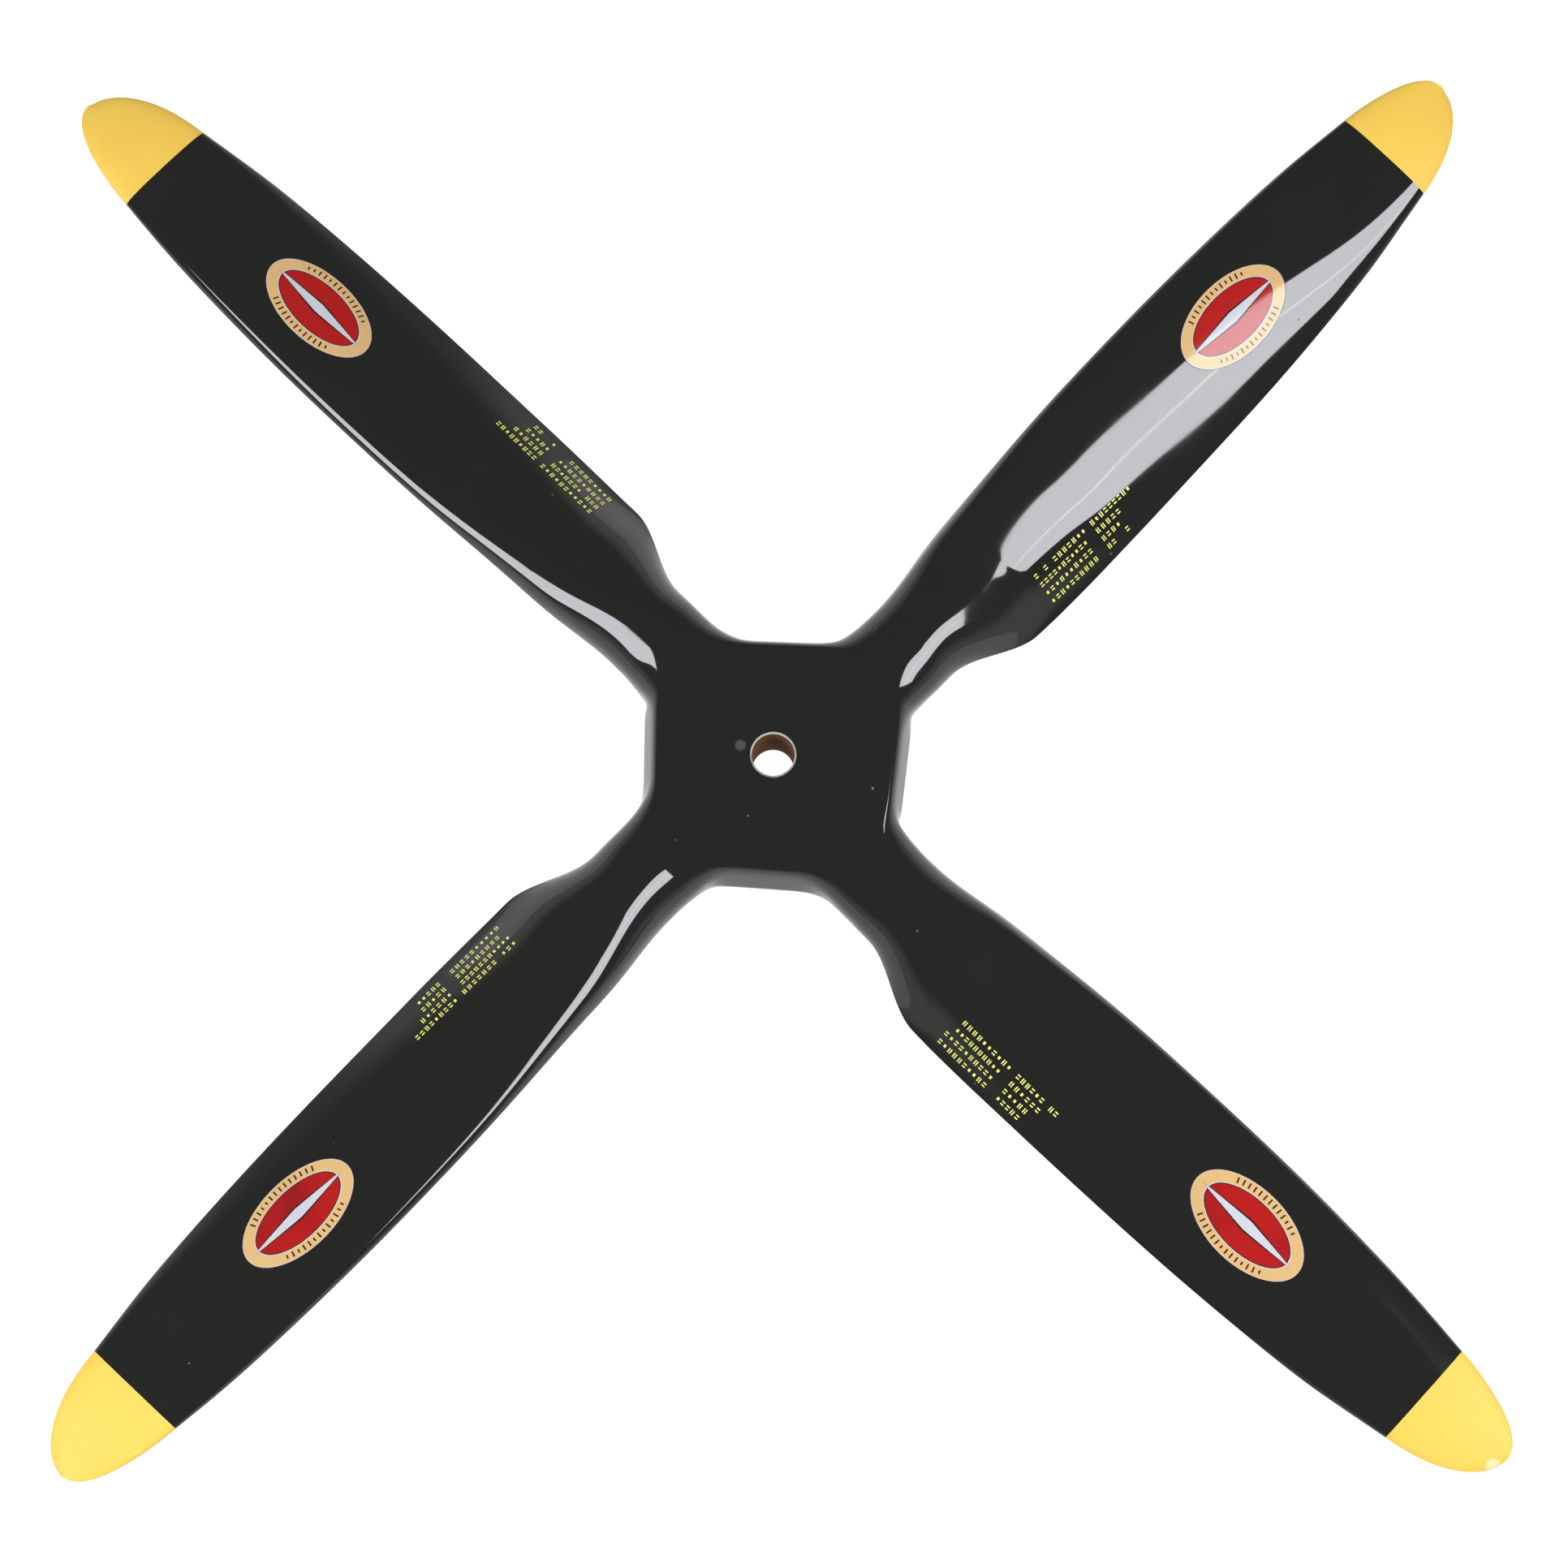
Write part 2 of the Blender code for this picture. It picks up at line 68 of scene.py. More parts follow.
blade = {
    "partingHeight": 10.4 * mm,
    # radius, then the leading and the trailing edge's distance from the blade's axis
    "outline": [
        (38 * mm, 12.4 * mm, 25.6 * mm),
        (50 * mm, 11.45 * mm, 25.6 * mm),
        (60 * mm, 11.95 * mm, 25.6 * mm),
        (75 * mm, 14.1 * mm, 25.5 * mm),
        (90 * mm, 15.5 * mm, 25.5 * mm),
        (120 * mm, 18.05 * mm, 24.85 * mm),
        (150 * mm, 19.55 * mm, 23.8 * mm),
        (180 * mm, 20.35 * mm, 22.3 * mm),
        (210 * mm, 20.2 * mm, 19.85 * mm),
        (235 * mm, 19.05 * mm, 16.7 * mm),
        (252 * mm, 17.5 * mm, 13.75 * mm),
        (280 * mm, 16.4 * mm, 12 * mm),
    ],
    "neckTrailing": 16.8 * mm,
    "shoulder": (54.5 * mm, 81.5 * mm),
    "tipRounding": 28 * mm,
    "tipLean": 2.0 * mm,
    # radius, then how far each of the four blades sits off its axis
    "sway": [
        (38 * mm, -1 * mm, 0.75 * mm, 0, 0.05 * mm),
        (75 * mm, -0.4 * mm, 0.4 * mm, -0.05 * mm, 0.2 * mm),
        (110 * mm, -0.35 * mm, 0.25 * mm, -0.15 * mm, 0.2 * mm),
        (150 * mm, -0.1 * mm, 0.2 * mm, 0, 0),
        (190 * mm, -0.05 * mm, 0, -0.05 * mm, -0.1 * mm),
        (230 * mm, 0.1 * mm, -0.2 * mm, -0.05 * mm, -0.35 * mm),
        (280 * mm, 0.35 * mm, -0.05 * mm, 0.05 * mm, 0),
    ],
    # radius, height of the leading edge above the floor
    "leadingHeight": [
        (38 * mm, 10.4 * mm),
        (58 * mm, 10.6 * mm),
        (75 * mm, 12.5 * mm),
        (90 * mm, 14.3 * mm),
        (112 * mm, 15.9 * mm),
        (145 * mm, 16.5 * mm),
        (210 * mm, 16.5 * mm),
        (280 * mm, 16.0 * mm),
    ],
    # radius, height of the trailing edge above the floor
    "trailingHeight": [
        (38 * mm, 10.19 * mm),
        (50 * mm, 9.83 * mm),
        (60 * mm, 8.20 * mm),
        (75 * mm, 4.77 * mm),
        (90 * mm, 2.28 * mm),
        (110 * mm, 2.64 * mm),
        (130 * mm, 3.23 * mm),
        (150 * mm, 4.32 * mm),
        (180 * mm, 5.41 * mm),
        (210 * mm, 7.61 * mm),
        (235 * mm, 9.91 * mm),
        (255 * mm, 12.52 * mm),
        (280 * mm, 14.08 * mm),
    ],
    # radius, bulge of the front and of the back from the chord line
    "crowns": [
        (38 * mm, 11.55 * mm, 9.80 * mm),
        (50 * mm, 11.85 * mm, 9.20 * mm),
        (62 * mm, 11.73 * mm, 7.20 * mm),
        (76 * mm, 9.59 * mm, 4.20 * mm),
        (92 * mm, 7.59 * mm, 2.00 * mm),
        (120 * mm, 5.35 * mm, 1.00 * mm),
        (160 * mm, 4.41 * mm, 0.80 * mm),
        (210 * mm, 3.73 * mm, 0.60 * mm),
        (250 * mm, 2.38 * mm, 0.50 * mm),
        (280 * mm, 1.73 * mm, 0.40 * mm),
    ],
    "edgeHalfThickness": 0.45 * mm,
    # radius, place of the crest along the chord, squareness of the section (2 is an ellipse)
    "shape": [
        (36 * mm, 0.492, 4.98),
        (41 * mm, 0.495, 2.83),
        (46 * mm, 0.498, 2.21),
        (62 * mm, 0.441, 2.22),
        (80 * mm, 0.370, 2.70),
        (110 * mm, 0.378, 2.55),
        (160 * mm, 0.383, 2.20),
        (210 * mm, 0.410, 2.55),
        (250 * mm, 0.467, 2.56),
        (280 * mm, 0.436, 2.21),
    ],
    "paintLines": [252.1 * mm, 249.9 * mm, 249.1 * mm, 251.4 * mm],  # each tip was masked by hand
    "paintSlant": math.radians(3.1),
}


def splineThrough(x, y, step, rise, bend):
    def value(at):
        i = np.clip(np.searchsorted(x, at) - 1, 0, len(step) - 1)
        t = at - x[i]
        slope = rise[i] - step[i] * (2 * bend[i] + bend[i + 1]) / 6
        return y[i] + t * (slope + t * (bend[i] / 2 + t * (bend[i + 1] - bend[i]) / (6 * step[i])))

    return value


def smoothCurves(points):  # a natural cubic spline through each column
    table = np.array(points, float)
    x = table[:, 0]
    step = np.diff(x)
    system = np.eye(len(x))
    for i in range(1, len(x) - 1):
        system[i, i - 1 : i + 2] = [step[i - 1], 2 * (step[i - 1] + step[i]), step[i]]
    curves = []
    for y in table[:, 1:].T:
        rise = np.diff(y) / step
        bend = np.linalg.solve(system, np.r_[0, 6 * np.diff(rise), 0])
        curves.append(splineThrough(x, y, step, rise, bend))
    return curves


leadingOffset, trailingOffset = smoothCurves(blade["outline"])
(leadingHeight,) = smoothCurves(blade["leadingHeight"])
(trailingHeight,) = smoothCurves(blade["trailingHeight"])
frontCrown, backCrown = smoothCurves(blade["crowns"])
crestPlace, squareness = smoothCurves(blade["shape"])
sways = smoothCurves(blade["sway"])


def ease(value, start, end):
    t = np.clip((value - start) / (end - start), 0, 1)
    return t * t * (3 - 2 * t)


def mix(a, b, share):
    return a + (b - a) * share


def intoTip(radius):  # 0 along the blade, 1 at the very end
    return np.clip((radius - tipRadius) / blade["tipRounding"] + 1, 0, 1)


def bladeEdges(radius):  # leading y and z, trailing y and z
    lead = leadingOffset(radius)
    trail = mix(blade["neckTrailing"], trailingOffset(radius), ease(radius, *blade["shoulder"]))
    middle = (lead - trail) / 2 + blade["tipLean"] * intoTip(radius) ** 3
    width = (lead + trail) * np.sqrt(1 - intoTip(radius) ** 2)
    return middle + width / 2, leadingHeight(radius), middle - width / 2, trailingHeight(radius)


def bulge(share, radius):  # an ellipse up to the crest, then a tail that keeps the crest's curvature
    crest = crestPlace(radius)
    power = squareness(radius)
    tailPower = ((1 - crest) / crest) ** power / power
    nose = (1 - np.clip(1 - share / crest, 0, 1) ** power) ** (1 / power)
    tail = (1 - np.clip((share - crest) / (1 - crest), 0, 1) ** power) ** tailPower
    return np.where(share < crest, nose, tail)


def bladePoint(radius, share, front):  # share runs from the leading edge, 0, to the trailing edge, 1
    radius, share = np.broadcast_arrays(np.asarray(radius, float), np.asarray(share, float))
    leadY, leadZ, trailY, trailZ = bladeEdges(radius)
    width = np.maximum(np.hypot(leadY - trailY, leadZ - trailZ), 1e-7)
    acrossY, acrossZ = (trailY - leadY) / width, (trailZ - leadZ) / width
    crown = frontCrown(radius) if front else backCrown(radius)
    roundEdge = blade["edgeHalfThickness"] * np.sqrt(np.maximum(1 - (2 * share - 1) ** 6, 0))
    height = (crown * bulge(share, radius) + roundEdge) * np.sqrt(1 - intoTip(radius) ** 2)
    height = height if front else -height
    y = leadY + acrossY * width * share + acrossZ * height
    z = leadZ + acrossZ * width * share - acrossY * height
    return np.stack([radius, y, z], axis=-1)


def chordShares(radius):  # at the hub each row of points keeps to one height up the side
    steps = moulding["chordSteps"]
    even = (1 - np.cos(np.pi * np.arange(steps + 1) / steps)) / 2
    power = squareness(radius)
    heights = np.array([s for _, s in moulding["sideFront"]])
    rows = crestPlace(radius) * (1 - (1 - np.minimum(heights, moulding["topRow"]) ** power) ** (1 / power))
    rows = np.maximum(rows, moulding["leastRowShare"] * np.arange(len(rows)))
    inside = np.linspace(rows[-1], 1 - rows[-1], steps - 2 * len(rows) + 3)
    level = np.concatenate([rows[:-1], inside, 1 - rows[-2::-1]])
    return mix(level, even, ease(radius, *moulding["levelRows"]))


def slantedSection(radius, index):  # a closed loop of points, whose plane turns to follow the paint line
    shares = chordShares(radius)
    leadY, _, trailY, _ = bladeEdges(radius)
    nearPaint = ease(radius, *moulding["slantStart"]) * (1 - ease(radius, *moulding["slantEnd"]))
    shift = blade["paintLines"][index] - moulding["paintStation"]
    offsets = mix(leadY, trailY, shares)
    radii = radius + nearPaint * (shift - offsets * math.tan(blade["paintSlant"]))
    front = bladePoint(radii, shares, True)
    back = bladePoint(radii, shares, False)
    loop = np.concatenate([front[:-1], back[:0:-1]])
    loop[:, 1] += sways[index](loop[:, 0])
    return loop


# The one black moulding: hub block and four blades as one skin

moulding = {
    "chordSteps": 14,
    "levels": 2,
    "mouthRadius": 37.4 * mm,
    "neckEnd": 90 * mm,
    "paintStation": 250.7 * mm,
    "stations": (16, 15, 12),  # sections along the neck, the blade and the tip
    "lastTipAngle": math.radians(86),
    "slantStart": (190 * mm, 240 * mm),  # where the sections begin to turn with the paint line
    "slantEnd": (254 * mm, 277 * mm),
    "levelRows": (42 * mm, 62 * mm),  # where rows that keep a height give way to even steps
    "topRow": 0.9995,
    "leastRowShare": 0.0012,
    "rimRows": 5,  # rows of the skin from the parting line to the edge of a flat face
    # distance from the bore's axis and slant of the flat after each blade
    "flats": [
        (35.65 * mm, math.radians(1.9)),
        (36.65 * mm, math.radians(0.4)),
        (36.3 * mm, math.radians(3.9)),
        (38.05 * mm, math.radians(6.6)),
    ],
    "flatColumns": [-14.5 * mm, -9 * mm, -2.5 * mm, 4 * mm, 9.8 * mm],
    # how far in from the parting line, and at what share of the height to the face
    "sideFront": [
        (0, 0),
        (0.85 * mm, 0.28),
        (1.7 * mm, 0.56),
        (2.6 * mm, 0.83),
        (3.7 * mm, 0.975),
        (6.2 * mm, 1),
    ],
    "sideBack": [
        (0, 0),
        (0.35 * mm, 0.28),
        (0.8 * mm, 0.56),
        (1.5 * mm, 0.83),
        (3.2 * mm, 0.975),
        (7 * mm, 1),
    ],
    "boreRings": [20 * mm, 11 * mm],
    "boreHole": 6.55 * mm,
    "holeDepth": 1.2 * mm,  # how far the skin turns down into the bore
    "creaseRadii": (40 * mm, 62 * mm),
    "fitRounds": 4,
    "fitRadii": (42 * mm, 60 * mm),
}


def stationRadii():  # close together where the outline bends
    neckCount, middleCount, tipCount = moulding["stations"]
    neck = np.linspace(moulding["mouthRadius"], moulding["neckEnd"], neckCount)
    middle = np.linspace(moulding["neckEnd"], moulding["paintStation"], middleCount)[1:]
    start = tipRadius - blade["tipRounding"]
    angles = np.linspace(0, moulding["lastTipAngle"], tipCount)[1:]
    tip = start + blade["tipRounding"] * np.sin(angles)
    return [*neck, *middle], [*tip]


def turned(points, quarterTurns):
    angle = 2 * math.pi * quarterTurns / bladeCount
    c, s = math.cos(angle), math.sin(angle)
    return points @ np.array([[c, s, 0], [-s, c, 0], [0, 0, 1]])


def joinLoops(faces, first, second):
    for i in range(len(first)):
        j = (i + 1) % len(first)
        faces.append((first[i], first[j], second[j], second[i]))


def buildCage():
    points = []
    faces = []
    tipFaces = []
    parting = []

    def add(rows):
        start = len(points)
        points.extend(rows)
        return list(range(start, start + len(rows)))

    steps = moulding["chordSteps"]
    around = 2 * steps
    rows = moulding["rimRows"]
    blackRadii, yellowRadii = stationRadii()
    mouths = []
    for index in range(bladeCount):
        loops = []
        for radius in blackRadii + yellowRadii:
            section = slantedSection(radius, index)
            if radius == moulding["mouthRadius"]:
                section[rows : steps - rows + 1, 2] = hubThickness
                section[steps + rows : around - rows + 1, 2] = 0
            loops.append(add(turned(section, index)))
        for k, (first, second) in enumerate(zip(loops, loops[1:])):
            joinLoops(faces if k < len(blackRadii) - 1 else tipFaces, first, second)
            parting += [(first[0], second[0]), (first[steps], second[steps])]
        last = loops[-1]
        for i in range(steps):  # the tip's front meets its back
            corner = [last[i], last[i + 1], last[around - i - 1], last[(around - i) % around]]
            tipFaces.append(tuple(dict.fromkeys(corner)))
        mouths.append(loops[0])

    frontRim, backRim = [], []
    for index in range(bladeCount):
        mouth, following = mouths[index], mouths[(index + 1) % bladeCount]
        columns = [sideOfMouth(mouth, 0)]
        for offset in moulding["flatColumns"]:
            front, back = flatColumn(*moulding["flats"][index], offset)
            frontIds = add(turned(front, index + 0.5))
            backIds = [frontIds[0]] + add(turned(back[1:], index + 0.5))
            columns.append((frontIds, backIds))
        columns.append(sideOfMouth(following, steps))
        for (frontA, backA), (frontB, backB) in zip(columns, columns[1:]):
            parting.append((frontA[0], frontB[0]))
            for a, b in ((frontA, frontB), (backA, backB)):
                for k in range(rows):
                    faces.append((a[k], b[k], b[k + 1], a[k + 1]))
        inner = range(steps - rows, rows, -1)
        frontRim += [mouth[j] for j in inner] + [front[rows] for front, _ in columns[:-1]]
        backRim += [mouth[around - j] for j in inner] + [back[rows] for _, back in columns[:-1]]

    count = len(frontRim)
    start = math.atan2(points[frontRim[0]][1], points[frontRim[0]][0])
    angles = start + 2 * np.pi * np.arange(count) / count
    ring = np.stack([np.cos(angles), np.sin(angles), np.zeros(count)], axis=-1)
    hole = moulding["boreHole"]
    depths = [(r, 0) for r in (*moulding["boreRings"], hole)] + [(hole, moulding["holeDepth"])]
    downwards = [add(ring * r + [0, 0, hubThickness - depth]) for r, depth in depths]
    upwards = [add(ring * r + [0, 0, depth]) for r, depth in reversed(depths)]
    chain = [frontRim, *downwards, *upwards, backRim]
    for first, second in zip(chain, chain[1:]):
        joinLoops(faces, first, second)
    holeEdges = [downwards[-2], upwards[1]]
    return np.array(points), faces, tipFaces, parting, holeEdges


def sideOfMouth(mouth, partingIndex):  # a mouth's points from the parting line inwards, front and back
    step = 1 if partingIndex == 0 else -1
    reach = range(moulding["rimRows"] + 1)
    front = [mouth[partingIndex + step * k] for k in reach]
    back = [mouth[(partingIndex - step * k) % len(mouth)] for k in reach]
    return front, back


def flatColumn(middle, slant, offset):  # points down one line of a hub flat that faces +X
    distance = middle + offset * math.tan(slant)
    parting = blade["partingHeight"]
    front = [(distance - i, offset, parting + s * (hubThickness - parting)) for i, s in moulding["sideFront"]]
    back = [(distance - i, offset, parting * (1 - s)) for i, s in moulding["sideBack"]]
    return np.array(front), np.array(back)


def fitCage(points, faces, creased):  # moves the cage so that the smooth surface runs through the points
    edges = {tuple(sorted((face[i - 1], face[i]))) for face in faces for i in range(len(face))}
    a, b = np.array(sorted(edges)).T
    valence = np.bincount(np.r_[a, b], minlength=len(points))[:, None].astype(float)
    creasedEdges = np.array(sorted({tuple(sorted(edge)) for edge in creased}))
    cage = points.copy()
    weight = ease(np.hypot(points[:, 0], points[:, 1]), *moulding["fitRadii"])[:, None]
    for _ in range(moulding["fitRounds"]):
        nearSum = np.zeros_like(cage)
        np.add.at(nearSum, a, cage[b])
        np.add.at(nearSum, b, cage[a])
        farSum = np.zeros_like(cage)
        for face in faces:
            for i in range(len(face)):
                farSum[face[i]] += cage[face[(i + 2) % len(face)]] if len(face) == 4 else cage[face[i - 1]]
        limit = (valence**2 * cage + 4 * nearSum + farSum) / (valence * (valence + 5))
        creaseSum = np.zeros_like(cage)
        creaseCount = np.zeros(len(cage))
        for i, j in creasedEdges:
            creaseSum[i] += cage[j]
            creaseSum[j] += cage[i]
            creaseCount[[i, j]] += 1
        on = creaseCount == 2
        limit[on] = (4 * cage[on] + creaseSum[on]) / 6
        cage += (points - limit) * weight
    return cage


def creaseOf(points, edge):  # the parting line is sharp round the hub and fades out along the necks
    radius = min(np.linalg.norm(points[i][:2]) for i in edge)
    return float(1 - ease(radius, *moulding["creaseRadii"]))


def makeMoulding():
    points, faces, tipFaces, parting, holeEdges = buildCage()
    sharp = [edge for edge in parting if creaseOf(points, edge) > 0.5]
    for ring in holeEdges:
        sharp += list(zip(ring, ring[1:] + ring[:1]))
    cage = fitCage(points, faces + tipFaces, sharp)
    mesh = bpy.data.meshes.new("moulding")
    mesh.from_pydata(cage.tolist(), [], faces + tipFaces)
    mesh.materials.append(black)
    mesh.materials.append(yellow)
    mesh.polygons.foreach_set("material_index", [0] * len(faces) + [1] * len(tipFaces))
    bm = bmesh.new()
    bm.from_mesh(mesh)
    bm.verts.ensure_lookup_table()
    layer = bm.edges.layers.float.new("crease_edge")
    for edge in parting:
        bm.edges.get([bm.verts[i] for i in edge])[layer] = creaseOf(points, edge)
    for ring in holeEdges:
        for edge in zip(ring, ring[1:] + ring[:1]):
            bm.edges.get([bm.verts[i] for i in edge])[layer] = 1
    bmesh.ops.recalc_face_normals(bm, faces=bm.faces)
    bm.to_mesh(mesh)
    bm.free()
    whole = addObject("moulding", mesh)
    smooth = whole.modifiers.new("Subdivision", "SUBSURF")
    smooth.levels = smooth.render_levels = moulding["levels"]
    smooth.use_limit_surface = True
    return bakeDown(whole)


# Helpers


def addObject(name, data):
    made = bpy.data.objects.new(name, data)
    bpy.context.scene.collection.objects.link(made)
    return made


def bakeDown(made):  # leaves the evaluated shape as a plain mesh with no modifiers
    graph = bpy.context.evaluated_depsgraph_get()
    mesh = bpy.data.meshes.new_from_object(made.evaluated_get(graph))
    mesh.name = made.name
    made.modifiers.clear()
    made.data = mesh
    return made


def faceOutwards(mesh):
    bm = bmesh.new()
    bm.from_mesh(mesh)
    bmesh.ops.recalc_face_normals(bm, faces=bm.faces)
    bm.to_mesh(mesh)
    bm.free()


def shadeSmooth(made, angle=35):
    made.data.shade_smooth()
    made.data.set_sharp_from_angle(angle=math.radians(angle))


def keepFaces(source, name, wanted):  # a closed copy of the faces that wanted(face) picks
    bm = bmesh.new()
    bm.from_mesh(source.data)
    bmesh.ops.delete(bm, geom=[f for f in bm.faces if not wanted(f)], context="FACES")
    bmesh.ops.holes_fill(bm, edges=[e for e in bm.edges if e.is_boundary], sides=0)
    bmesh.ops.recalc_face_normals(bm, faces=bm.faces)
    mesh = bpy.data.meshes.new(name)
    bm.to_mesh(mesh)
    bm.free()
    for finish in source.data.materials:
        mesh.materials.append(finish)
    return addObject(name, mesh)


def declare(piece, slot, *nodes):
    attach(piece, "root")
    if nodes:
        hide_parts(*nodes)


def shaderFor(name, **values):
    made = bpy.data.materials.new(name)
    made.use_nodes = True
    shader = made.node_tree.nodes["Principled BSDF"]
    for key, value in values.items():
        shader.inputs[key.replace("_", " ")].default_value = value
    return made


def addNode(tree, kind, **settings):  # settings named after a socket feed it, the others are properties
    node = tree.nodes.new(kind)
    for key, value in settings.items():
        name = key.replace("_", " ")
        if name in node.inputs:
            feed(tree, node.inputs[name], value)
        else:
            setattr(node, key, value)
    return node


def feed(tree, socket, value):
    if isinstance(value, bpy.types.NodeSocket):
        tree.links.new(value, socket)
    else:
        socket.default_value = value


def calculate(tree, operation, *values):
    node = tree.nodes.new("ShaderNodeMath")
    node.operation = operation
    for socket, value in zip(node.inputs, values):
        feed(tree, socket, value)
    return node.outputs[0]


def blend(tree, share, a, b):
    return addNode(tree, "ShaderNodeMix", data_type="RGBA", Factor=share, A=a, B=b).outputs["Result"]


def span(tree, value, fromMin, fromMax, toMin=0.0, toMax=1.0):
    node = addNode(tree, "ShaderNodeMapRange", interpolation_type="SMOOTHSTEP", Value=value)
    limits = {"From Min": fromMin, "From Max": fromMax, "To Min": toMin, "To Max": toMax}
    for key, limit in limits.items():
        feed(tree, node.inputs[key], limit)
    return node.outputs["Result"]


def startGroup(name, inputs, output):
    tree = bpy.data.node_groups.new(name, "ShaderNodeTree")
    for key, value in inputs.items():
        tree.interface.new_socket(key, in_out="INPUT", socket_type="NodeSocketFloat").default_value = value
    tree.interface.new_socket(output, in_out="OUTPUT", socket_type="NodeSocketFloat")
    start = tree.nodes.new("NodeGroupInput")
    end = tree.nodes.new("NodeGroupOutput")
    place = tree.nodes.new("ShaderNodeTexCoord").outputs["Object"]
    return tree, start.outputs, end.inputs[output], place


def useGroup(made, group, **values):
    node = made.node_tree.nodes.new("ShaderNodeGroup")
    node.node_tree = group
    for key, value in values.items():
        feed(made.node_tree, node.inputs[key], value)
    return node.outputs[0]


def noise(tree, place, scale, detail=2.0):
    return addNode(tree, "ShaderNodeTexNoise", Vector=place, Scale=scale, Detail=detail).outputs[0]


# Effects that several materials share


def makeSpecks():  # a few round grains of dust, each in its own cell
    tree, inputs, output, place = startGroup("specks", {"Scale": 300.0, "Share": 0.05, "Size": 0.1}, "Amount")
    cells = addNode(tree, "ShaderNodeTexVoronoi", Vector=place, Scale=inputs["Scale"])
    picked = tree.nodes.new("ShaderNodeSeparateColor")
    feed(tree, picked.inputs[0], cells.outputs["Color"])
    chosen = calculate(tree, "LESS_THAN", picked.outputs[0], inputs["Share"])
    size = calculate(tree, "MULTIPLY", picked.outputs[1], inputs["Size"])
    inside = calculate(tree, "LESS_THAN", cells.outputs["Distance"], size)
    feed(tree, output, calculate(tree, "MULTIPLY", chosen, inside))
    return tree


def makePeel():  # the faint waviness of sprayed or moulded gloss
    tree, inputs, output, place = startGroup("orangePeel", {"Scale": 90.0}, "Height")
    coarse = noise(tree, place, inputs["Scale"], 1.0)
    fine = noise(tree, place, calculate(tree, "MULTIPLY", inputs["Scale"], 6.0), 1.0)
    feed(tree, output, calculate(tree, "ADD", coarse, calculate(tree, "MULTIPLY", fine, 0.12)))
    return tree


def makeSmears():  # wiped patches and hairlines, from 0 to 1
    tree, inputs, output, place = startGroup("smears", {"Scale": 25.0, "Hairlines": 0.5}, "Amount")
    patches = span(tree, noise(tree, place, inputs["Scale"], 3.0), 0.45, 0.8)
    stretch = addNode(tree, "ShaderNodeMapping", Vector=place)
    stretch.inputs["Rotation"].default_value[2] = 0.6
    stretch.inputs["Scale"].default_value = (1, 0.04, 1)
    lines = span(tree, noise(tree, stretch.outputs[0], 1400.0), 0.68, 0.8)
    hairs = calculate(tree, "MULTIPLY", lines, inputs["Hairlines"])
    feed(tree, output, calculate(tree, "MAXIMUM", patches, hairs))
    return tree


specks, orangePeel, smears = makeSpecks(), makePeel(), makeSmears()


def ripple(made, distance, scale=90.0):
    tree = made.node_tree
    bump = addNode(tree, "ShaderNodeBump", Height=useGroup(made, orangePeel, Scale=scale))
    bump.inputs["Strength"].default_value = 1.0
    bump.inputs["Distance"].default_value = distance
    feed(tree, tree.nodes["Principled BSDF"].inputs["Normal"], bump.outputs["Normal"])


def spots(made, places):  # 1 near each place, falling to 0 at its radius
    tree = made.node_tree
    position = tree.nodes.new("ShaderNodeTexCoord").outputs["Object"]
    total = 0.0
    for x, y, z, radius in places:
        gap = addNode(tree, "ShaderNodeVectorMath", operation="DISTANCE")
        feed(tree, gap.inputs[0], position)
        gap.inputs[1].default_value = (x, y, z)
        near = span(tree, gap.outputs["Value"], radius, radius * 0.55)
        total = calculate(tree, "MAXIMUM", total, near)
    return total


def paint(made, finish):
    # base colour with a second tone in soft patches, dust on top, and a roughness that swings with the smears;
    # gives the colour back for a finish that adds to it
    tree = made.node_tree
    shader = tree.nodes["Principled BSDF"]
    patches = useGroup(made, smears, Scale=40.0, Hairlines=0.0)
    toneShare = calculate(tree, "MULTIPLY", patches, finish["toneShare"])
    toned = blend(tree, toneShare, (*finish["base"], 1), (*finish["tone"], 1))
    smallSpots = useGroup(made, specks, Scale=300.0, Share=0.035, Size=0.12)
    colour = blend(tree, smallSpots, toned, (*finish["dust"], 1))
    feed(tree, shader.inputs["Base Color"], colour)
    wiped = useGroup(made, smears, Scale=22.0, Hairlines=0.6)
    swung = calculate(tree, "MULTIPLY_ADD", wiped, finish["roughSwing"], finish["rough"])
    feed(tree, shader.inputs["Roughness"], calculate(tree, "MULTIPLY_ADD", smallSpots, 0.3, swung))
    ripple(made, *finish["ripple"])
    return colour


gelCoat = {
    "base": (0.0052, 0.0055, 0.0048),
    "tone": (0.0062, 0.0064, 0.0056),
    "toneShare": 0.8,
    "dust": (0.045, 0.047, 0.042),
    "rough": 0.04,
    "roughSwing": 0.05,
    "ripple": (0.004 * mm, 90.0),
    # a smudge, and three small pale spots on the hub, partly dust and partly painted glints of the right lamp
    # at the hub's lower right corner, each as a place and a radius
    "smudge": [(-4.6 * mm, 8.4 * mm, 22.5 * mm, 1.9 * mm)],
    "smudgeColour": (0.04, 0.04, 0.04, 1),
    "smudgePatches": 260.0,
    "smudgeClears": (0.0, 0.3),
    "smallSpots": [
        (13.0 * mm, -26.5 * mm, 22.5 * mm, 0.45 * mm),
        (7.1 * mm, -32.5 * mm, 20.5 * mm, 0.5 * mm),
        (-17.3 * mm, -7.5 * mm, 22.5 * mm, 0.3 * mm),
    ],
    "spotAndGlintColour": (0.12, 0.14, 0.16, 1),
}
black = shaderFor("blackGelCoat", Base_Color=(*gelCoat["base"], 1), Roughness=0.05)


